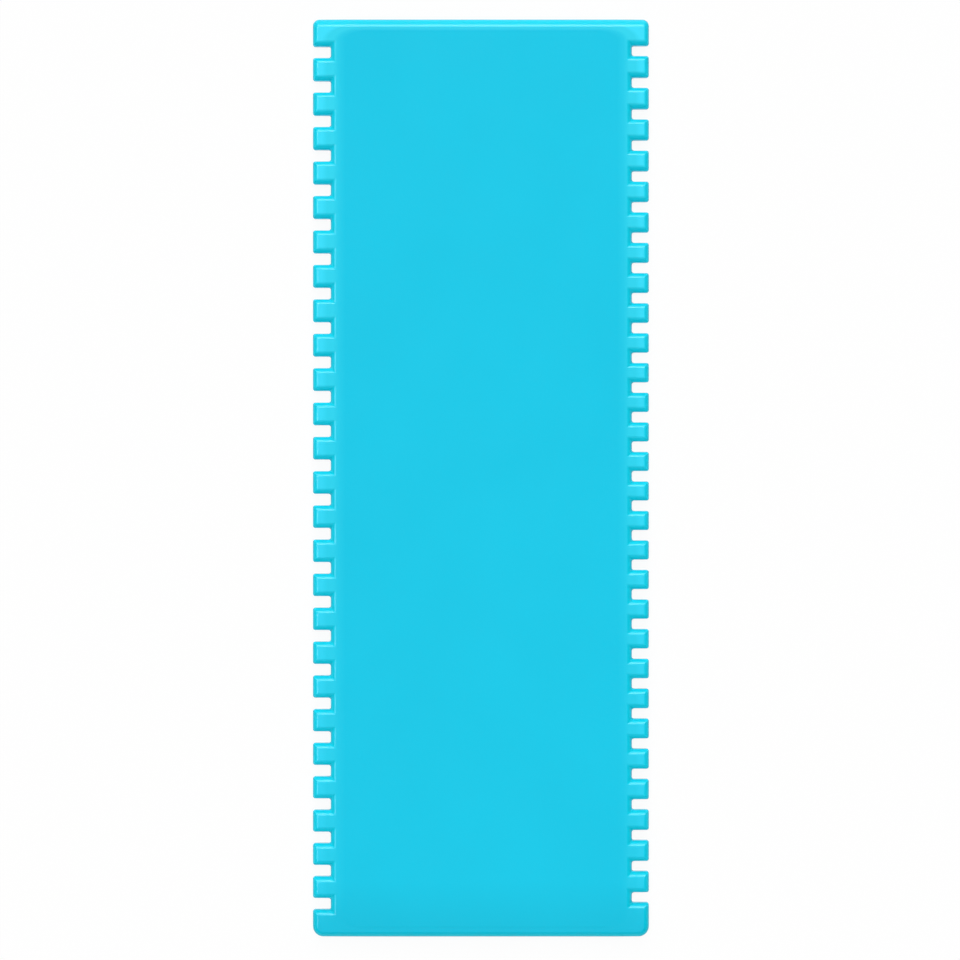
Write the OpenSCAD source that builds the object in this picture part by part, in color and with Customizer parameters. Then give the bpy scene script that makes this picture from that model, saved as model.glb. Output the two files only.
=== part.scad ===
// Tall two-edged icing smoother, also called an icing comb: one moulded plastic plate with a row of
// square-cut notches down each long edge and a raised flat field between them. It lies on its back.
// X runs across the plate, Y up its length and Z out of its front face.

/* [Plate] */
// Overall length, from end to end
plate_l = 230; // [215:1:260]
// Overall width, from the left tooth tips to the right tooth tips
plate_w = 84.3; // [76:0.1:96]
// Thickness over the flat field
field_t = 3.6; // [3.4:0.1:4.2]
// Slope of the margins on each face, in degrees, so that the plate thins towards the tooth tips
slope = 1.6; // [1:0.1:2]
// Plan radius of the two corners at the top
top_corner_r = 1.6; // [1.5:0.1:3]
// Plan radius of the two corners at the foot
foot_corner_r = 2.6; // [1.5:0.1:3]

/* [Flat field] */
// Height that the field stands above the margins, on each face
field_rise = 0.1; // [0.06:0.01:0.14]
// Width of the soft bevel down each long side of the field
field_bevel = 1.2; // [0.8:0.1:1.6]
// Plan radius at the field's corners
field_r = 4; // [2.5:0.1:6]
// Plain land between the rounding round the notches and the field's bevel
side_land = 0.45; // [0.2:0.05:2]
// Plain land between the rounding on each end of the plate and the field's bevel
end_land = 0.1; // [0.1:0.05:2]

/* [Rounded edges] */
// Radius along the tooth tips, on both ends and round the four outer corners
edge_r = 1.3; // [0.9:0.05:1.35]
// Radius on the lips of every notch
lip_r = 1; // [0.7:0.05:1.2]
// Plan radius on the corners of each tooth
tooth_r = 0.55; // [0.4:0.05:0.8]
// Plan radius at the bottom corners of each notch
notch_r = 0.6; // [0.4:0.05:0.9]

/* [Left edge] */
// Number of notches
left_notches = 26; // [20:1:26]
// Width of a notch
left_notch_w = 2.9; // [2.4:0.1:3.3]
// Depth of a notch
left_notch_d = 4.5; // [3:0.1:6]
// Height of the first tooth, at the top of the plate
left_top_tooth = 6.75; // [5:0.05:9]
// Height of the last tooth, at the foot of the plate
left_foot_tooth = 6.75; // [5:0.05:9]
// How far the row hangs below even spacing, as a share of its length
left_bow = 0.021; // [0:0.001:0.03]
// How much more it hangs in the upper half than in the lower half, as a share of its length
left_sway = -0.01; // [-0.02:0.001:0.05]

/* [Right edge] */
// Number of notches
right_notches = 29; // [20:1:29]
// Width of a notch
right_notch_w = 2.6; // [2.2:0.1:2.9]
// Depth of a notch
right_notch_d = 4.3; // [3:0.1:6]
// Height of the first tooth, at the top of the plate
right_top_tooth = 6.55; // [5:0.05:9]
// Height of the last tooth, at the foot of the plate
right_foot_tooth = 8.5; // [5:0.05:9]
// How far the row hangs below even spacing, as a share of its length
right_bow = 0.01; // [0:0.001:0.03]
// How much more it hangs in the upper half than in the lower half, as a share of its length
right_sway = 0.048; // [-0.02:0.001:0.05]

/* [Hidden] */

// Round shapes are drawn with this many sides
$fn = 40;
// Cutting shapes reach this far past what they cut
over = 1;
// A rounding meets its two faces a little short of tangent, by this share of its radius
graze = 0.015;
// The field's bevel runs on this far inside the plate
run_on = 0.4;

// Half the plate's thickness at the field and just outside it
field_h = field_t / 2;
strip_h = field_h - field_rise;
// Distance from each edge of the plate in to the flat field
left_margin = left_notch_d + lip_r + side_land + field_bevel;
right_margin = right_notch_d + lip_r + side_land + field_bevel;
end_margin = edge_r + end_land + field_bevel;
// Half the plate's thickness at the tooth tips, before their edges are rounded
left_tip_h = strip_h - left_margin * tan(slope);
right_tip_h = strip_h - right_margin * tan(slope);
// The field's bevel falls by this much a millimetre
bevel_fall = field_rise / field_bevel + tan(slope);

// Depth of a rounding's centre line below the face, and its distance in from the wall
function set_in(r) = (1 - graze) * r;

// A rounding on a wall that stands square to the plate is set this far down the sloping face
function down_slope(r) = r * sin(slope);

// Place in a row, from 0 at its first notch to 1 at its last
function in_row(s, bow, sway) = s + s * (1 - s) * (bow + sway * (1 - 2 * s));

// Where the middles of a row's notches lie along the plate, from the top down
function notch_places(count, w, top_tooth, foot_tooth, bow, sway) =
    let (first = plate_l / 2 - top_tooth - w / 2, last = foot_tooth + w / 2 - plate_l / 2)
    [for (i = [0 : count - 1]) first + (last - first) * in_row(i / (count - 1), bow, sway)];

// What comes off a corner at the origin to round it, where the solid fills the quarter at -x and -y
module rounding(r) {
    centre = -[set_in(r), set_in(r)];
    difference() {
        translate(centre) square(r + over);
        translate(centre) circle(r);
    }
}

// The plate's cross-section without the field: flat inside, thinning to rounded tooth tips
module plate_section() {
    face = [
        [-plate_w / 2, left_tip_h], [-plate_w / 2 + left_margin, strip_h],
        [plate_w / 2 - right_margin, strip_h], [plate_w / 2, right_tip_h]
    ];
    back = [for (i = [3 : -1 : 0]) [face[i].x, -face[i].y]];
    shift = down_slope(edge_r);
    difference() {
        polygon(concat(face, back));
        for (turn = [0, 1]) mirror([0, turn]) {
            translate(face[3]) rotate(-slope) translate([shift, 0]) rounding(edge_r);
            translate(face[0]) rotate(slope) translate([-shift, 0]) mirror([1, 0]) rounding(edge_r);
        }
    }
}

// The field's edge in section: flat from a corner's centre out to field_r, then down on both faces
module field_edge() {
    foot_x = field_r + field_bevel + run_on;
    foot_h = field_h - (field_bevel + run_on) * bevel_fall;
    polygon([
        [0, -field_h], [field_r, -field_h], [foot_x, -foot_h],
        [foot_x, foot_h], [field_r, field_h], [0, field_h]
    ]);
}

// A straight run of the field with both its edges, where span is the distance between its corners' centres
module field_run(span, run) {
    rotate([90, 0, 0]) linear_extrude(run, center = true) {
        square([span, field_t], center = true);
        for (side = [0, 1]) mirror([side, 0]) translate([span / 2, 0]) field_edge();
    }
}

// The field: two crossing runs, with the same edge turned through a quarter circle at each corner
module field() {
    span = plate_w - left_margin - right_margin - 2 * field_r;
    rise = plate_l - 2 * (end_margin + field_r);
    translate([(left_margin - right_margin) / 2, 0, 0]) {
        field_run(span, rise);
        rotate(90) field_run(rise, span);
        for (side = [0, 1], end = [0, 1]) mirror([side, 0, 0]) mirror([0, end, 0])
            translate([span / 2, rise / 2, 0]) rotate_extrude(angle = 90) field_edge();
    }
}

// The rounding across the top end of the plate on its front face: over the flat, then down both margins
// and round both corners
module end_lip(corner_r) {
    turn = set_in(corner_r);
    module cut(run) {
        translate([-over, 0, 0]) rotate([90, 0, 90]) linear_extrude(run + 2 * over) rounding(edge_r);
    }
    module side(margin, tip_h) {
        translate([-plate_w / 2, 0, tip_h]) rotate([0, -slope, 0]) {
            cut(margin);
            translate([turn - down_slope(edge_r), -turn, 0]) rotate(90)
                rotate_extrude(angle = 90) translate([turn, 0]) rounding(edge_r);
        }
    }
    translate([-plate_w / 2, 0, strip_h]) cut(plate_w);
    side(left_margin, left_tip_h);
    mirror([1, 0, 0]) side(right_margin, right_tip_h);
}

// One end of the blank plate, as it comes off at the top: the lips on both faces and both plan corners
module end_cut(corner_r) {
    translate([0, plate_l / 2, 0]) {
        for (face = [0, 1]) mirror([0, 0, face]) end_lip(corner_r);
        for (side = [0, 1]) mirror([side, 0, 0]) translate([plate_w / 2, 0, 0])
            linear_extrude(field_t + over, center = true) rounding(corner_r);
    }
}

// The plate without its notches
module blank() {
    difference() {
        union() {
            rotate([90, 0, 0]) linear_extrude(plate_l, center = true) plate_section();
            field();
        }
        end_cut(top_corner_r);
        mirror([0, 1, 0]) end_cut(foot_corner_r);
    }
}

// Plan of a notch that runs in from x = 0: a slot with round corners at its bottom, and what comes off
// the tooth corners beside its mouth
module notch_plan(w, d) {
    difference() {
        translate([-over, -w / 2]) square([over + d, w]);
        for (side = [0, 1]) mirror([0, side]) translate([d, w / 2]) rounding(notch_r);
    }
    for (side = [0, 1]) mirror([0, side]) translate([0, w / 2]) rotate(180) rounding(tooth_r);
}

// What rounds the lips of a notch on one face, which lies at z = 0: a wider, shallow slot, less a round
// bar along each wall. The bars cross at the bottom corners, so the lips meet there in a mitre.
module notch_lips(w, d) {
    sink = set_in(lip_r);
    bar_y = w / 2 + sink;
    bar_x = d + sink;
    translate([0, 0, -sink]) difference() {
        translate([-over, -bar_y, 0]) cube([over + bar_x, 2 * bar_y, sink + over]);
        for (side = [-1, 1]) translate([-2 * over, side * bar_y, 0]) rotate([0, 90, 0])
            cylinder(h = bar_x + 3 * over, r = lip_r);
        translate([bar_x, 0, 0]) rotate([90, 0, 0]) cylinder(h = 2 * (bar_y + over), r = lip_r, center = true);
    }
}

// A row of notches cut through the plate, in from the left edge
module notch_row(places, w, d) {
    for (y = places) translate([-plate_w / 2, y, 0])
        linear_extrude(field_t + over, center = true) notch_plan(w, d);
}

// The lips of a row of notches on both faces, where the plate is 2 * tip_h thick at the tooth tips
module lip_row(places, w, d, tip_h) {
    for (y = places, face = [0, 1]) translate([-plate_w / 2, y, 0]) mirror([0, 0, face])
        translate([0, 0, tip_h]) rotate([0, -slope, 0]) notch_lips(w, (d - down_slope(lip_r)) / cos(slope));
}

module comb_plate() {
    left_places = notch_places(left_notches, left_notch_w, left_top_tooth, left_foot_tooth,
        left_bow, left_sway);
    right_places = notch_places(right_notches, right_notch_w, right_top_tooth, right_foot_tooth,
        right_bow, right_sway);
    color([0.14, 0.8, 0.91]) translate([0, 0, field_h]) difference() {
        blank();
        notch_row(left_places, left_notch_w, left_notch_d);
        lip_row(left_places, left_notch_w, left_notch_d, left_tip_h);
        mirror([1, 0, 0]) notch_row(right_places, right_notch_w, right_notch_d);
        mirror([1, 0, 0]) lip_row(right_places, right_notch_w, right_notch_d, right_tip_h);
    }
}

comb_plate();
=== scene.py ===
"""An icing comb's moulded surface, its glossy plastic and a small white studio, laid out as an add-on.

The comb is one plate that lies on its back: X runs across it, Y up its length and Z out of its front.
Its surface is worked out in rings. A ring is the comb's outline set in by some distance and dropped by
some depth, and the two follow a quarter round from the upright walls up to the face.
"""

import math

import bpy
import numpy as np
from bpy.props import FloatProperty, FloatVectorProperty, IntVectorProperty, PointerProperty
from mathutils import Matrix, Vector


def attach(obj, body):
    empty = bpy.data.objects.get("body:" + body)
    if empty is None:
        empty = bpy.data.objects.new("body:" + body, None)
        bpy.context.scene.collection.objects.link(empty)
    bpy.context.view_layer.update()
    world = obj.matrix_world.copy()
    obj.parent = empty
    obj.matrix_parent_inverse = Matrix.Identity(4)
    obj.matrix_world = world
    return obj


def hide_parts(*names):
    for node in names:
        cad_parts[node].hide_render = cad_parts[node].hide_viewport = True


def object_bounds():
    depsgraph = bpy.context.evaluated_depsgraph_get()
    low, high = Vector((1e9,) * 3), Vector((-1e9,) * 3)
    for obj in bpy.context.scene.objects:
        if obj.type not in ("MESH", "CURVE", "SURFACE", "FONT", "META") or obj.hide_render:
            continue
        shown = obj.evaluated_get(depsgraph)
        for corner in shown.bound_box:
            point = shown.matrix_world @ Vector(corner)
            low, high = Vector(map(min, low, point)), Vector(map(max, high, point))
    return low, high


bl_info = {
    "name": "Icing Comb",
    "version": (1, 0, 0),
    "blender": (4, 5, 0),
    "location": "View3D > Sidebar > Icing Comb",
    "description": "Makes a moulded icing comb and a white studio for it",
    "category": "Add Mesh",
}

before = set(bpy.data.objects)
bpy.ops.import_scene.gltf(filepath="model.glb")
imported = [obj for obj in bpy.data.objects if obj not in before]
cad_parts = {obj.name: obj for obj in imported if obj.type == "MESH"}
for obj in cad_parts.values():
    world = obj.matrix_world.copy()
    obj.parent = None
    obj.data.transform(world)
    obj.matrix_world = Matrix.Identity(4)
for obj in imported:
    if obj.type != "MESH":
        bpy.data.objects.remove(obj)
CAD_BOX = [list(corner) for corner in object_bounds()]
# Half the plate's width, length and thickness
HALF = (Vector(CAD_BOX[1]) - Vector(CAD_BOX[0])) / 2
MM = 0.001
NODE = "comb_plate"
LEFT, RIGHT = 0, 1
WHITE = (1, 1, 1, 1)

# Counts of points: on each corner of the outline, up the rounding, on each corner of the field and up
# the field's bevel
CORNER_POINTS = 9
ROUND_STEPS = 12
FIELD_CORNER_POINTS = 13
BEVEL_STEPS = 8
# Share of a notch corner's plan radius that is left where its lips meet the face
MITRE = 0.4
# A tooth corner's plan radius shrinks as its walls are set in, and softly stops near this
LEAST_R = 0.12 * MM
# Points down the field's sides keep this far from its corners
SIDE_GAP = 0.1 * MM

# Painted light: a paler colour past the field's outline stands in for the glow of light through the thinning
# plastic. How it fades in: millimetres past the outline, and the shares of the margins' and the tips' colour
# there
PAINTED_GLOW_FADE = ((-0.4, 0, 0), (1.3, 0.38, 0), (2.7, 1, 0), (4.2, 1, 0), (5.6, 1, 1))
# Painted light: how much of the margins' painted glow shows at the foot end and at the top end, where 1 is
# the colour as it is set, so the plate is lighter towards the top end as if lit from there
PAINTED_LIGHT_BY_HEIGHT = (0.45, 1.35)
# Painted shade at the foot end, where the colour is darker and the painted glow fades out: how far up that
# reaches, and how dark it starts
FOOT_REACH = 14 * MM
FOOT_PAINTED_SHADE = 0.89
# Where the field's colour ends and the painted glow begins: plan radius of its corners, and how many times
# faster it fades at the ends than down the sides
COLOUR_CORNER = 6 * MM
END_STRETCH = 2.5
# Cosines of the tilts at which the edges' painted shade ends and the face's colour starts
EDGE_TURN = (0.82, 0.985)
# Noises in the plastic, each with its scale per metre, detail and roughness
CLOUDS = (40, 2, 0.5)
WEAR = (90, 4, 0.6)
GRAIN = (900, 2, 0.5)
# What the clouds do to the colour and the wear to the roughness: a range of the noise, and the shares
# that it becomes
CLOUD_RANGE, CLOUD_SHARES = (0.3, 0.7), (0.988, 1.012)
WEAR_RANGE, WEAR_SHARES = (0.35, 0.7), (0.94, 1.1)
# Strength and depth of the grain
GRAIN_STRENGTH = 0.06
GRAIN_DEPTH = 0.02 * MM

# The floor: how far it reaches, its colour, and how far it lies under the comb, so that the two don't
# share a plane
FLOOR_REACH = 3
FLOOR_WHITE = (0.93, 0.93, 0.93, 1)
FLOOR_GAP = 0.05 * MM
# Share of the floor's white that glows; the rest is lit, and takes the comb's shadow
GLOW = 0.92
# The room as mirrors see it: heights from the horizon to overhead, as sines, and the grey there
ROOM_WALL = ((0, 1), (0.12, 1), (0.2, 0.1), (0.85, 0.1), (0.94, 1), (1, 1))
# Angles of each lamp in degrees: the side that it stands on, anticlockwise from the comb's top end, how
# far it stands from overhead, and how wide it looks
TOP_LAMP = (0, 44, 38)
LEFT_LAMP = (90, 40, 36)
# The camera's place beside the comb's middle, which puts the comb where the photograph has it
CAMERA_SHIFT = (-0.23 * MM, -0.5 * MM)


class CombSizes(bpy.types.PropertyGroup):
    """Sizes of the plate and its two rows of notches. A pair holds the left edge, then the right edge."""

    notches: IntVectorProperty(name="Notches", description="Notches down each edge", size=2, default=(26, 29))
    notch_w: FloatVectorProperty(
        name="Notch width", description="Width of a notch", size=2,
        default=(2.9 * MM, 2.6 * MM), unit="LENGTH")
    notch_d: FloatVectorProperty(
        name="Notch depth", description="Depth of a notch", size=2,
        default=(4.5 * MM, 4.3 * MM), unit="LENGTH")
    top_tooth: FloatVectorProperty(
        name="Top tooth", description="Height of the first tooth", size=2,
        default=(6.75 * MM, 6.55 * MM), unit="LENGTH")
    foot_tooth: FloatVectorProperty(
        name="Foot tooth", description="Height of the last tooth", size=2,
        default=(6.75 * MM, 8.5 * MM), unit="LENGTH")
    bow: FloatVectorProperty(
        name="Bow", description="How far the row hangs below even spacing, as a share of its length",
        size=2, default=(0.021, 0.01), precision=3)
    sway: FloatVectorProperty(
        name="Sway", description="How much more it hangs in its upper half, as a share of its length",
        size=2, default=(-0.01, 0.048), precision=3)
    slope: FloatProperty(
        name="Slope", description="Slope of each margin down to the tooth tips",
        default=math.radians(1.6), subtype="ANGLE")
    tooth_r: FloatProperty(
        name="Tooth corners", description="Plan radius on the corners of each tooth",
        default=0.55 * MM, unit="LENGTH")
    notch_r: FloatProperty(
        name="Notch corners", description="Plan radius at the bottom corners of each notch",
        default=0.6 * MM, unit="LENGTH")
    top_r: FloatProperty(
        name="Top corners", description="Plan radius on the plate's two corners at the top",
        default=1.6 * MM, unit="LENGTH")
    foot_r: FloatProperty(
        name="Foot corners", description="Plan radius on the plate's two corners at the foot",
        default=2.6 * MM, unit="LENGTH")
    edge_round: FloatVectorProperty(
        name="Edge rounding",
        description="Reach across the face and depth of the rounding on the tips and the foot",
        size=2, default=(1.48 * MM, 1.25 * MM), unit="LENGTH")
    top_round: FloatVectorProperty(
        name="Top rounding",
        description="Reach across the face and depth of the rounding along the top end",
        size=2, default=(2.12 * MM, 1.25 * MM), unit="LENGTH")
    lip_round: FloatVectorProperty(
        name="Lip rounding",
        description="Reach across the face and depth of the rounding round the notches",
        size=2, default=(1.4 * MM, 1.1 * MM), unit="LENGTH")
    fullness: FloatProperty(
        name="Fullness", description="Power of the rounding's curve: 1 is a flat bevel and 2 is round",
        default=1.62, min=1, max=3)
    margin: FloatVectorProperty(
        name="Margins", description="From each long edge in to the flat field", size=2,
        default=(7.9 * MM, 7.7 * MM), unit="LENGTH")
    end_margin: FloatProperty(
        name="End margins", description="From each end in to the flat field",
        default=3 * MM, unit="LENGTH")
    field_rise: FloatProperty(
        name="Field height", description="Height of the flat field above the margins",
        default=0.04 * MM, unit="LENGTH")
    field_bevel: FloatVectorProperty(
        name="Field bevel",
        description="Width of the soft bevel down the field's sides, and along its ends",
        size=2, default=(1.9 * MM, 0.8 * MM), unit="LENGTH")
    field_r: FloatProperty(
        name="Field corners", description="Plan radius of the field's corners",
        default=4 * MM, unit="LENGTH")


class CombFinish(bpy.types.PropertyGroup):
    """Colours and gloss of the moulded plastic, with a painted glow on the thin parts and painted shade on
    the edges.
    """

    plastic: FloatVectorProperty(
        name="Plastic", description="Colour of the thick plastic", subtype="COLOR", size=3,
        min=0, max=1, default=(0.0015, 0.578, 0.805))
    # Painted light: a paler colour standing in for the glow of light through the thinner margins
    painted_margin_glow: FloatVectorProperty(
        name="Margin plastic", description="Colour of the thinner plastic on the margins",
        subtype="COLOR", size=3, min=0, max=1, default=(0.02, 0.655, 0.86))
    # Painted light: a paler colour standing in for the glow of light through the thin tooth tips
    painted_tip_glow: FloatVectorProperty(
        name="Thin plastic", description="Colour at the thin tooth tips, where light comes through",
        subtype="COLOR", size=3, min=0, max=1, default=(0.03, 0.712, 0.945))
    # Painted shade: a deeper colour on the rounded edges, which turn away from the face and its light
    painted_edge_shade: FloatVectorProperty(
        name="Edge plastic", description="Deeper colour on the rounded edges", subtype="COLOR", size=3,
        min=0, max=1, default=(0.003, 0.655, 0.835))
    roughness: FloatProperty(
        name="Roughness", description="Roughness of the polished face", default=0.2, min=0, max=1)
    ior: FloatProperty(
        name="Refraction", description="Index of refraction, which sets how strong the gloss is",
        default=1.22, min=1)


class StudioSettings(bpy.types.PropertyGroup):
    """The camera's place and the strength of the lamps."""

    view_distance: FloatProperty(
        name="View distance", description="From the comb's face to the camera",
        default=0.5, unit="LENGTH")
    view_width: FloatProperty(
        name="View width", description="Width that the picture takes in at the comb's face",
        default=0.24017, unit="LENGTH")
    room_light: FloatProperty(
        name="Room light", description="Level of the light from all round", default=1.9)
    room_lean: FloatVectorProperty(
        name="Room lean",
        description="How much more light comes from the left and from the top end, as shares",
        size=2, default=(0.22, 0.37))
    room_sides: FloatProperty(
        name="Room sides", description="How much less light comes from the left and right, as a share",
        default=2.4)
    top_light: FloatProperty(
        name="Top light", description="Strength of the lamp over the comb's top end",
        default=1.25 * math.pi)
    left_light: FloatProperty(
        name="Left light", description="Strength of the lamp over the comb's left edge",
        default=0.8 * math.pi)


def notch_places(sizes, side):
    """Where the middles of one edge's notches lie along Y, from the top down: even spacing, s from 0 to 1,
    plus s (1 - s) times a bow and a sway that changes sign half-way."""
    first = HALF.y - sizes.top_tooth[side] - sizes.notch_w[side] / 2
    last = sizes.foot_tooth[side] + sizes.notch_w[side] / 2 - HALF.y
    s = np.linspace(0, 1, sizes.notches[side])
    hang = s * (1 - s) * (sizes.bow[side] + sizes.sway[side] * (1 - 2 * s))
    return first + (last - first) * (s + hang)


def sharp_outline(sizes):
    """The comb's outline with square corners, anticlockwise from the lower right: corner points, which of
    them turn inwards into a notch, which start one of a notch's walls, and the plan radius of each."""
    rows = []
    for side, sign in ((RIGHT, 1), (LEFT, -1)):
        y = notch_places(sizes, side)
        y = y[::-1] if side == RIGHT else y
        half_notch = sign * sizes.notch_w[side] / 2
        mouth = np.full_like(y, sign * HALF.x)
        bottom = mouth - sign * sizes.notch_d[side]
        x = np.stack([mouth, bottom, bottom, mouth], axis=1)
        y = np.stack([y - half_notch, y - half_notch, y + half_notch, y + half_notch], axis=1)
        rows.append(np.stack([x, y], axis=2).reshape(-1, 2))
    ends = [np.array([[HALF.x * x, HALF.y * y]]) for x, y in ((1, -1), (1, 1), (-1, 1), (-1, -1))]
    points = np.concatenate([ends[0], rows[0], ends[1], ends[2], rows[1], ends[3]])

    def along_outline(at_foot, at_notch, at_top):
        first = [[at_foot], np.tile(at_notch, sizes.notches[RIGHT]), [at_top]]
        return np.concatenate([*first, [at_top], np.tile(at_notch, sizes.notches[LEFT]), [at_foot]])

    tooth_r, notch_r = sizes.tooth_r, sizes.notch_r
    inward = along_outline(False, [False, True, True, False], False)
    is_lip = along_outline(False, [True, True, True, False], False)
    radius = along_outline(sizes.foot_r, [tooth_r, notch_r, notch_r, tooth_r], sizes.top_r)
    return points, inward, is_lip, radius


def margin_height(x, sizes):
    """Half the plate's thickness outside the field: level, and falling with the slope on the margins."""
    level = HALF.z - sizes.field_rise
    past = np.maximum(sizes.margin[LEFT] - (x + HALF.x), sizes.margin[RIGHT] - (HALF.x - x))
    return level - np.maximum(past, 0) * math.tan(sizes.slope)


def margin_normal(x, sizes):
    """Unit normal of the front face outside the field, tilted outwards by the slope on the margins."""
    on_left, on_right = x < sizes.margin[LEFT] - HALF.x, x > HALF.x - sizes.margin[RIGHT]
    angle = (np.where(on_left, -1.0, 0) + np.where(on_right, 1.0, 0)) * sizes.slope
    return np.stack([np.sin(angle), np.zeros_like(x), np.cos(angle)], axis=-1)


def rounded_rings(sizes, end_x):
    """Plan points, heights and normals of the rings from the upright walls up to the face. end_x holds
    where points lie across the top end, and in reverse across the foot.
    With the angle a from 0 to 90 degrees, a wall is set in by its reach times (1 - cos a) and lies below
    the face by its depth times (1 - sin a), where cosine and sine are first raised to 2 over the fullness.
    A corner's plan arc stays tangent to both its walls, and shrinks as they are set in, so the faces meet
    in a soft mitre."""
    points, inward, is_lip, radius = sharp_outline(sizes)
    along = np.roll(points, -1, axis=0) - points
    along /= np.linalg.norm(along, axis=1, keepdims=True)
    into = np.stack([-along[:, 1], along[:, 0]], axis=1)
    before = np.roll(into, 1, axis=0)
    rounding = np.where(is_lip[:, None], sizes.lip_round[:], sizes.edge_round[:])
    top_right = 4 * sizes.notches[RIGHT] + 1
    rounding[top_right] = sizes.top_round[:]
    rounding_before = np.roll(rounding, 1, axis=0)

    # How far each wall is set in, ring by ring, and the plan radius that is left on each corner
    rise = np.linspace(0, math.pi / 2, ROUND_STEPS + 1)
    power = 2 / sizes.fullness
    across, upright = np.cos(rise).clip(0) ** power, np.sin(rise) ** power
    set_in, drop = 1 - across, 1 - upright
    reach = rounding[:, 0] * set_in[:, None]
    reach_before = rounding_before[:, 0] * set_in[:, None]
    corner = points + reach_before[..., None] * before + reach[..., None] * into
    left_over = radius - (reach + reach_before) / 2
    tooth_r = (left_over + np.sqrt(left_over**2 + 4 * LEAST_R**2)) / 2
    notch_r = radius * (1 - (1 - MITRE) * set_in[:, None])
    signed_r = np.where(inward, -notch_r, tooth_r)[..., None]

    # Points round each corner, with a depth that passes from one wall's to the next one's
    bend = np.linspace(0, math.pi / 2, CORNER_POINTS)[:, None]
    facing = -(np.cos(bend) * before[:, None] + np.sin(bend) * into[:, None])
    centre = corner + signed_r * (before + into)
    plan = centre[:, :, None] + signed_r[..., None] * facing
    share = bend[:, 0] / (math.pi / 2)
    depth = rounding_before[:, 1:] * (1 - share) + rounding[:, 1:] * share

    # Points along the two end walls go in between the corners
    cut = (top_right + 1) * CORNER_POINTS
    plan = plan.reshape(len(rise), -1, 2)
    facing = facing.reshape(-1, 2)
    depth = depth.reshape(-1)
    walls, flat = [], []
    for sign, x, rounded in ((1, end_x, sizes.top_round), (-1, end_x[::-1], sizes.edge_round)):
        y = sign * (HALF.y - rounded[0] * set_in)
        walls.append(np.stack(np.broadcast_arrays(x, y[:, None]), axis=2))
        flat.append(np.full(len(end_x), rounded[1]))
    plan = np.concatenate([plan[:, :cut], walls[0], plan[:, cut:], walls[1]], axis=1)
    up = np.broadcast_to([0.0, 1.0], (len(end_x), 2))
    facing = np.concatenate([facing[:cut], up, facing[cut:], -up])
    depth = np.concatenate([depth[:cut], flat[0], depth[cut:], flat[1]])

    height = margin_height(plan[..., 0], sizes) - depth * drop[:, None]
    sideways = np.concatenate([facing, np.zeros((len(facing), 1))], axis=1)
    lean = (across ** (sizes.fullness - 1))[:, None, None]
    lift = (upright ** (sizes.fullness - 1))[:, None, None]
    normal = lean * sideways + lift * margin_normal(plan[..., 0], sizes)
    return plan, height, normal / np.linalg.norm(normal, axis=-1, keepdims=True)


def field_path(sizes, ring_r, side_y):
    """One ring round the field: a rectangle whose corners keep their centres and have the given radii
    across and along, with a point at each of the given places down its sides. Anticlockwise from the
    lower right."""
    right = HALF.x - sizes.margin[RIGHT] - sizes.field_r
    left = sizes.margin[LEFT] + sizes.field_r - HALF.x
    top = HALF.y - sizes.end_margin - sizes.field_r
    quarter = np.linspace(0, math.pi / 2, FIELD_CORNER_POINTS)
    arc = np.stack([np.cos(quarter), np.sin(quarter)], axis=1)
    turned = np.stack([-arc[:, 1], arc[:, 0]], axis=1)
    side = [np.stack([np.full(len(y), x), y], axis=1)
            for x, y in ((right + ring_r[0], side_y[RIGHT]), (left - ring_r[0], side_y[LEFT]))]
    return np.concatenate([
        side[0], [right, top] + ring_r * arc, [left, top] + ring_r * turned,
        side[1], [left, -top] - ring_r * arc, [right, -top] - ring_r * turned,
    ])


def field_rings(sizes, side_y):
    """Plan points, heights and normals of the rings up the field's bevel. With the share t from 0 to 1
    across the bevel, the rise is the field's height times t t (3 - 2 t)."""
    share = np.linspace(0, 1, BEVEL_STEPS + 1)
    bevel = np.array(sizes.field_bevel)
    plan = np.stack([field_path(sizes, sizes.field_r + bevel * (1 - t), side_y) for t in share])
    smooth = (share * share * (3 - 2 * share))[:, None]
    base = margin_height(plan[..., 0], sizes)
    height = base + smooth * (HALF.z - base)
    outward = plan[0] - plan[-1]
    width = np.linalg.norm(outward, axis=1, keepdims=True)
    outward = np.concatenate([outward / width, np.zeros_like(width)], axis=1)
    steep = (6 * share * (1 - share))[:, None, None] * sizes.field_rise / width
    normal = margin_normal(plan[..., 0], sizes) + steep * outward
    return plan, height, normal / np.linalg.norm(normal, axis=-1, keepdims=True)


def loop_faces(rings, count):
    """Four-sided faces between closed rings of count points each, numbered from 0 ring by ring."""
    start = np.arange(rings - 1)[:, None] * count
    here = start + np.arange(count)
    there = start + np.roll(np.arange(count), -1)
    return np.stack([here, there, there + count, here + count], axis=2).reshape(-1, 4)


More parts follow.
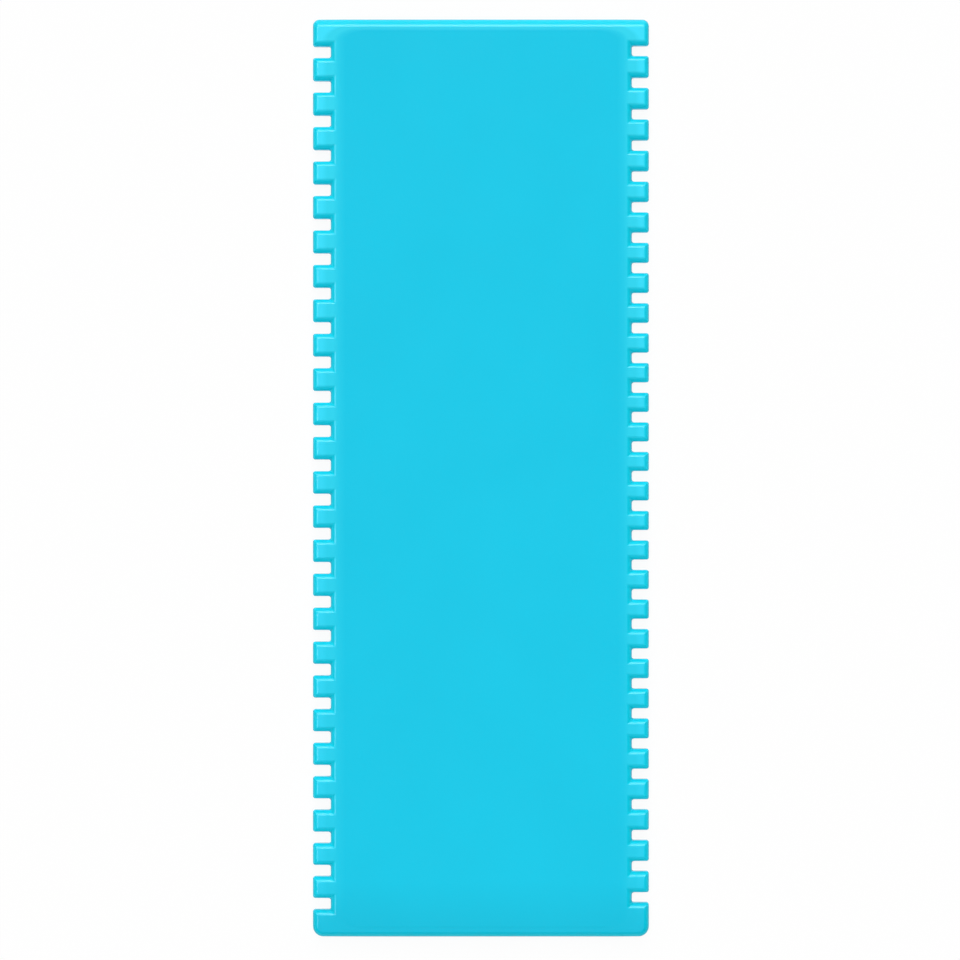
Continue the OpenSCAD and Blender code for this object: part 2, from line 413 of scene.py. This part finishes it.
def land_faces(sizes, outer, inner):
    """Faces of the flat land between the rounding's last ring and the field's first. outer and inner hold
    the two rings' vertex numbers. Each notch has one face behind it and each tooth one face, and strips
    close the ends."""
    across = 2 * FIELD_CORNER_POINTS
    right_count, left_count = sizes.notches[RIGHT], sizes.notches[LEFT]
    right_side, inner_top = inner[: 2 * right_count], inner[2 * right_count :][:across]
    left_side, inner_foot = inner[2 * right_count + across : -across], inner[-across:]
    top_start = (4 * right_count + 2) * CORNER_POINTS
    outer_top, outer_foot = outer[top_start:][:across], outer[-across:]
    right_arcs = outer[:top_start].reshape(-1, CORNER_POINTS)
    left_arcs = outer[top_start + across : -across].reshape(-1, CORNER_POINTS)
    top, foot = (outer_top, inner_top), (outer_foot, inner_foot)
    rows = (
        (right_arcs, right_side, right_count, foot, top),
        (left_arcs, left_side, left_count, top, foot),
    )

    faces = []
    for arcs, places, count, before, after in rows:
        mouth = arcs[1:-1].reshape(count, 4, CORNER_POINTS)
        near, far = places[0::2], places[1::2]
        behind = np.stack([mouth[:, 1, -1], mouth[:, 2, 0], far, near], axis=1)
        tooth = np.concatenate([
            mouth[:-1, 2], mouth[:-1, 3], mouth[1:, 0], mouth[1:, 1], near[1:, None], far[:-1, None],
        ], axis=1)
        faces += behind.tolist() + tooth.tolist()
        faces.append([before[0][-1], *arcs[0], *mouth[0, 0], *mouth[0, 1], near[0], before[1][-1]])
        faces.append([*mouth[-1, 2], *mouth[-1, 3], *arcs[-1], after[0][0], after[1][0], far[-1]])
    for wall, edge in (top, foot):
        faces += np.stack([wall[:-1], wall[1:], edge[1:], edge[:-1]], axis=1).tolist()
    return faces


def plate_surface(sizes):
    """Vertices, faces and normals of the closed plate: the front, and the back as its mirror image."""
    straight = HALF.y - sizes.end_margin - sizes.field_r - SIDE_GAP
    side_y = {}
    for side, sign in ((RIGHT, -1), (LEFT, 1)):
        y = notch_places(sizes, side)
        y = y[::-1] if side == RIGHT else y
        out = sizes.notch_w[side] / 2 + sizes.lip_round[0] - MITRE * sizes.notch_r
        places = np.stack([y + sign * out, y - sign * out], axis=1).ravel()
        side_y[side] = np.clip(places, -straight, straight)
    field_plan, field_height, field_normal = field_rings(sizes, side_y)
    arc_start = 2 * sizes.notches[RIGHT]
    end_x = field_plan[0, arc_start : arc_start + 2 * FIELD_CORNER_POINTS, 0]
    plan, height, normal = rounded_rings(sizes, end_x)

    def stacked(plan, height):
        return np.concatenate([plan, height[..., None]], axis=2).reshape(-1, 3)

    front = np.concatenate([stacked(plan, height), stacked(field_plan, field_height)])
    facing = np.concatenate([normal.reshape(-1, 3), field_normal.reshape(-1, 3)])
    rings, count = height.shape
    field_count = field_height.shape[1]
    field_start = rings * count
    outer = np.arange((rings - 1) * count, field_start)
    inner = np.arange(field_start, field_start + field_count)
    faces = loop_faces(rings, count).tolist()
    faces += (field_start + loop_faces(BEVEL_STEPS + 1, field_count)).tolist()
    faces += land_faces(sizes, outer, inner)
    faces.append(list(range(field_start + BEVEL_STEPS * field_count, len(front))))

    # The back, and the upright wall that joins the lowest rings of both faces
    flip = np.array([1.0, 1.0, -1.0])
    back_faces = [[len(front) + v for v in reversed(face)] for face in faces]
    here = np.arange(count)
    there = np.roll(here, -1)
    wall = np.stack([here + len(front), there + len(front), there, here], axis=1).tolist()
    vertices = np.concatenate([front, front * flip]) + [0, 0, HALF.z]
    return vertices, faces + back_faces + wall, np.concatenate([facing, facing * flip])


def make_plate(sizes):
    """The plate's mesh as a new object at the origin, shaded by the normals of its own formula."""
    vertices, faces, normals = plate_surface(sizes)
    mesh = bpy.data.meshes.new("comb_plate_surface")
    mesh.from_pydata(vertices, [], faces)
    mesh.shade_smooth()
    mesh.normals_split_custom_set_from_vertices(normals)
    mesh.validate()
    plate = bpy.data.objects.new("comb_plate_surface", mesh)
    bpy.context.scene.collection.objects.link(plate)
    return plate


def add_node(tree, kind, place, inputs=(), **settings):
    """A new node with the given settings. Its inputs come in order, or in a dict by name or number: a
    socket is linked, a plain value is set and None is passed over."""
    node = tree.nodes.new(kind)
    node.location = place
    for name, value in settings.items():
        setattr(node, name, value)
    for key, value in inputs.items() if isinstance(inputs, dict) else enumerate(inputs):
        if isinstance(value, bpy.types.NodeSocket):
            tree.links.new(value, node.inputs[key])
        elif value is not None:
            node.inputs[key].default_value = value
    return node


def number_math(tree, place, operation, *inputs):
    """A socket with the result of a Math node."""
    return add_node(tree, "ShaderNodeMath", place, inputs, operation=operation).outputs["Value"]


def vector_math(tree, place, operation, *inputs):
    """A socket with the result of a Vector Math node, which is a number for a length or a dot product."""
    node = add_node(tree, "ShaderNodeVectorMath", place, inputs, operation=operation)
    return node.outputs["Value" if operation in ("LENGTH", "DOT_PRODUCT") else "Vector"]


def map_range(tree, place, value, old, new):
    """A socket with a value taken from one range to another, and held inside it."""
    return add_node(tree, "ShaderNodeMapRange", place, (value, *old, *new)).outputs["Result"]


def mix_colours(tree, place, share, first, second, **settings):
    """A socket with the first colour where the share is 0 and the second where it is 1."""
    inputs = {0: share, 6: first, 7: second}
    return add_node(tree, "ShaderNodeMix", place, inputs, data_type="RGBA", **settings).outputs[2]


def add_ramp(tree, place, value, stops):
    """A socket with a colour that follows a value. Each stop is a place and a colour, the first at 0 and
    the last at 1."""
    ramp = add_node(tree, "ShaderNodeValToRGB", place, (value,))
    elements = ramp.color_ramp.elements
    elements[0].color, elements[1].color = (*stops[0][1], 1), (*stops[-1][1], 1)
    for at, colour in stops[1:-1]:
        elements.new(at).color = (*colour, 1)
    return ramp.outputs["Color"]


def add_noise(tree, place, at, numbers):
    """A socket with a noise, whose numbers are its scale, detail and roughness."""
    return add_node(tree, "ShaderNodeTexNoise", place, (at, None, *numbers)).outputs[0]


def past_field(tree, sizes, at):
    """A socket with the distance in metres from the field's rounded outline out towards the plate's edge,
    with Y stretched so that it grows faster at the ends. It is the length of how far a point lies past
    the corners' centres in X and in Y, less the corners' radius."""
    centre = (sizes.margin[LEFT] - sizes.margin[RIGHT]) / 2
    half_span = HALF.x - (sizes.margin[LEFT] + sizes.margin[RIGHT]) / 2 - COLOUR_CORNER
    half_rise = END_STRETCH * (HALF.y - sizes.end_margin) - COLOUR_CORNER
    flat = vector_math(tree, (-1320, 200), "MULTIPLY", at, (1, END_STRETCH, 0))
    shifted = vector_math(tree, (-1140, 200), "SUBTRACT", flat, (centre, 0, 0))
    size = vector_math(tree, (-960, 200), "ABSOLUTE", shifted)
    past = vector_math(tree, (-780, 200), "SUBTRACT", size, (half_span, half_rise, 0))
    outside = vector_math(tree, (-600, 200), "MAXIMUM", past, (0, 0, 0))
    length = vector_math(tree, (-420, 200), "LENGTH", outside)
    return number_math(tree, (-240, 200), "SUBTRACT", length, COLOUR_CORNER)


def moulded_plastic(finish, sizes):
    """Glossy opaque plastic with painted light and shade: a painted glow past the field, where the plate
    thins towards the tooth tips, stronger towards the top end, and painted shade on its rounded edges and at
    the foot, with faint clouds, wear and grain."""
    material = bpy.data.materials.new("moulded_plastic")
    material.use_nodes = True
    tree = material.node_tree
    shader = tree.nodes["Principled BSDF"]
    coordinates = add_node(tree, "ShaderNodeTexCoord", (-1500, 200)).outputs
    at = coordinates["Object"]

    # Painted light: past the field the colour ramps to the paler margin and tip colours, a painted glow of
    # light through the thinning plastic
    fade = PAINTED_GLOW_FADE[0][0] * MM, PAINTED_GLOW_FADE[-1][0] * MM
    out = map_range(tree, (-60, 200), past_field(tree, sizes, at), fade, (0, 1))
    field, margin, tip = map(Vector, (finish.plastic, finish.painted_margin_glow, finish.painted_tip_glow))
    stops = [
        ((start * MM - fade[0]) / (fade[1] - fade[0]), field.lerp(margin, on_margin).lerp(tip, on_tip))
        for start, on_margin, on_tip in PAINTED_GLOW_FADE
    ]
    painted_glow = add_ramp(tree, (120, 200), out, stops)
    # Painted light by height: the painted glow grows towards the top end, and it and the colour darken at the
    # foot
    up = add_node(tree, "ShaderNodeSeparateXYZ", (-60, 700), (at,)).outputs["Y"]
    above_foot = map_range(tree, (120, 700), up, (-HALF.y, FOOT_REACH - HALF.y), (0, 1))
    painted_light_by_height = map_range(tree, (120, 950), up, (-HALF.y, HALF.y), PAINTED_LIGHT_BY_HEIGHT)
    painted_glow_share = number_math(tree, (300, 800), "MULTIPLY", painted_light_by_height, above_foot)
    face = mix_colours(tree, (300, 200), painted_glow_share, (*field, 1), painted_glow, clamp_factor=False)

    # Painted shade: by its tilt, each rounded edge takes the deeper edge colour in place of the face's
    outward = add_node(tree, "ShaderNodeSeparateXYZ", (-60, 450), (coordinates["Normal"],)).outputs["Z"]
    level = number_math(tree, (120, 450), "ABSOLUTE", outward)
    on_face = map_range(tree, (300, 450), level, EDGE_TURN, (0, 1))
    colour = mix_colours(tree, (480, 300), on_face, (*finish.painted_edge_shade, 1), face)

    clouds = add_noise(tree, (-60, -100), at, CLOUDS)
    cloud_shade = map_range(tree, (120, -100), clouds, CLOUD_RANGE, CLOUD_SHARES)
    # Painted shade: the colour darkens towards the foot, while the clouds' tone varies at random
    foot_painted_shade = map_range(tree, (300, 600), above_foot, (0, 1), (FOOT_PAINTED_SHADE, 1))
    shade = number_math(tree, (300, -100), "MULTIPLY", cloud_shade, foot_painted_shade)
    tint = vector_math(tree, (660, 200), "SCALE", colour, None, None, shade)
    tree.links.new(tint, shader.inputs["Base Color"])

    wear = add_noise(tree, (-60, -350), at, WEAR)
    worn = [finish.roughness * share for share in WEAR_SHARES]
    tree.links.new(map_range(tree, (120, -350), wear, WEAR_RANGE, worn), shader.inputs["Roughness"])
    grain = add_noise(tree, (-60, -600), at, GRAIN)
    inputs = {"Strength": GRAIN_STRENGTH, "Distance": GRAIN_DEPTH, "Height": grain}
    bump = add_node(tree, "ShaderNodeBump", (120, -600), inputs)
    tree.links.new(bump.outputs[0], shader.inputs["Normal"])
    shader.inputs["IOR"].default_value = finish.ior
    return material


class OBJECT_OT_comb_plate(bpy.types.Operator):
    """Make the comb's moulded plate in place of the plain one"""

    bl_idname = "object.comb_plate"
    bl_label = "Comb Plate"

    def execute(self, context):
        sizes, finish = context.scene.comb_sizes, context.scene.comb_finish
        plate = make_plate(sizes)
        plate.data.materials.append(moulded_plastic(finish, sizes))
        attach(plate, "root")
        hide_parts(NODE)
        return {"FINISHED"}


def gloss_lamp(name, angles, strength):
    """A far, evenly soft lamp that shows only in the gloss. Its angles are explained beside TOP_LAMP."""
    towards, tilt, spread = map(math.radians, angles)
    data = bpy.data.lights.new(name, "SUN")
    data.angle = spread
    data.energy = strength
    light = bpy.data.objects.new(name, data)
    light.rotation_euler = (-tilt, 0, towards)
    light.location = light.rotation_euler.to_matrix() @ Vector((0, 0, 1))
    light.visible_diffuse = False
    bpy.context.scene.collection.objects.link(light)


def background_share(tree):
    """A socket that is 1 for camera, mirror-like and see-through rays, and 0 for all others."""
    rays = add_node(tree, "ShaderNodeLightPath", (-900, 0)).outputs
    seen = number_math(tree, (-700, 0), "MAXIMUM", rays["Is Camera Ray"], rays["Is Glossy Ray"])
    return number_math(tree, (-520, 0), "MAXIMUM", seen, rays["Is Transmission Ray"])


def white_floor():
    """A wide white floor under the comb: it glows white for the camera and keeps the comb's shadow."""
    signs = ((-1, -1), (1, -1), (1, 1), (-1, 1))
    corners = [(x * FLOOR_REACH, y * FLOOR_REACH, -FLOOR_GAP) for x, y in signs]
    mesh = bpy.data.meshes.new("floor")
    mesh.from_pydata(corners, [], [(0, 1, 2, 3)])
    floor = bpy.data.objects.new("floor", mesh)
    bpy.context.scene.collection.objects.link(floor)
    material = bpy.data.materials.new("white_floor")
    material.use_nodes = True
    tree = material.node_tree
    tree.nodes.remove(tree.nodes["Principled BSDF"])
    matt = add_node(tree, "ShaderNodeBsdfDiffuse", (-200, -150), (FLOOR_WHITE,)).outputs[0]
    glow = add_node(tree, "ShaderNodeEmission", (-200, 50), (WHITE,)).outputs[0]
    share = number_math(tree, (-380, 50), "MULTIPLY", background_share(tree), GLOW)
    both = add_node(tree, "ShaderNodeMixShader", (0, 0), (share, matt, glow)).outputs[0]
    tree.links.new(both, tree.nodes["Material Output"].inputs["Surface"])
    mesh.materials.append(material)


def white_world(level, lean, sides):
    """A room that is white at the horizon for the camera, mirrors and glass, dark above that and white
    overhead. All other light from it is grey: the level times 1, plus the direction's dot product with the
    lean, less the sides' share times its X squared."""
    world = bpy.data.worlds.new("studio")
    bpy.context.scene.world = world
    world.use_nodes = True
    tree = world.node_tree
    room = tree.nodes["Background"]
    room.inputs["Color"].default_value = WHITE
    direction = add_node(tree, "ShaderNodeTexCoord", (-900, -250)).outputs["Generated"]
    axes = add_node(tree, "ShaderNodeSeparateXYZ", (-700, -100), (direction,)).outputs
    leaning = vector_math(tree, (-700, 350), "DOT_PRODUCT", direction, (-lean[0], lean[1], 0))
    x_squared = number_math(tree, (-520, 50), "MULTIPLY", axes["X"], axes["X"])
    less_sides = number_math(tree, (-340, 50), "MULTIPLY_ADD", x_squared, -sides, 1)
    share = number_math(tree, (-160, 250), "ADD", leaning, less_sides)
    lit_share = number_math(tree, (20, 250), "MAXIMUM", share, 0)
    light = number_math(tree, (200, 250), "MULTIPLY", lit_share, level)
    tree.links.new(light, room.inputs["Strength"])
    greys = [(height, (grey, grey, grey)) for height, grey in ROOM_WALL]
    wall = add_ramp(tree, (-520, -250), axes["Z"], greys)
    seen = add_node(tree, "ShaderNodeBackground", (0, -150), (wall, 1)).outputs[0]
    shaders = (background_share(tree), room.outputs[0], seen)
    both = add_node(tree, "ShaderNodeMixShader", (400, 0), shaders).outputs[0]
    tree.links.new(both, tree.nodes["World Output"].inputs["Surface"])


class OBJECT_OT_comb_studio(bpy.types.Operator):
    """Make the white floor, the lamps and the camera that looks down on the comb"""

    bl_idname = "object.comb_studio"
    bl_label = "White Studio"

    def execute(self, context):
        studio = context.scene.comb_studio
        white_floor()
        white_world(studio.room_light, studio.room_lean, studio.room_sides)
        gloss_lamp("top_light", TOP_LAMP, studio.top_light)
        gloss_lamp("left_light", LEFT_LAMP, studio.left_light)
        data = bpy.data.cameras.new("camera")
        data.lens = data.sensor_width * studio.view_distance / studio.view_width
        camera = bpy.data.objects.new("camera", data)
        camera.location = (*CAMERA_SHIFT, CAD_BOX[1][2] + studio.view_distance)
        context.scene.collection.objects.link(camera)
        context.scene.camera = camera
        context.scene.view_settings.view_transform = "Standard"
        return {"FINISHED"}


class VIEW3D_PT_icing_comb(bpy.types.Panel):
    """Lists the comb's sizes, its finish and the studio"""

    bl_label = "Icing Comb"
    bl_space_type = "VIEW_3D"
    bl_region_type = "UI"
    bl_category = "Icing Comb"

    def draw(self, context):
        shown = {
            OBJECT_OT_comb_plate: ("comb_sizes", "comb_finish"),
            OBJECT_OT_comb_studio: ("comb_studio",),
        }
        for operator, groups in shown.items():
            for group in groups:
                settings = getattr(context.scene, group)
                for name in settings.__annotations__:
                    self.layout.prop(settings, name)
            self.layout.operator(operator.bl_idname)


SETTINGS = {"comb_sizes": CombSizes, "comb_finish": CombFinish, "comb_studio": StudioSettings}
CLASSES = (*SETTINGS.values(), OBJECT_OT_comb_plate, OBJECT_OT_comb_studio, VIEW3D_PT_icing_comb)


def register():
    for cls in CLASSES:
        bpy.utils.register_class(cls)
    for name, group in SETTINGS.items():
        setattr(bpy.types.Scene, name, PointerProperty(type=group))


def unregister():
    for name in SETTINGS:
        delattr(bpy.types.Scene, name)
    for cls in reversed(CLASSES):
        bpy.utils.unregister_class(cls)


def main():
    register()
    bpy.ops.object.comb_plate()
    bpy.ops.object.comb_studio()


if __name__ == "__main__":
    main()
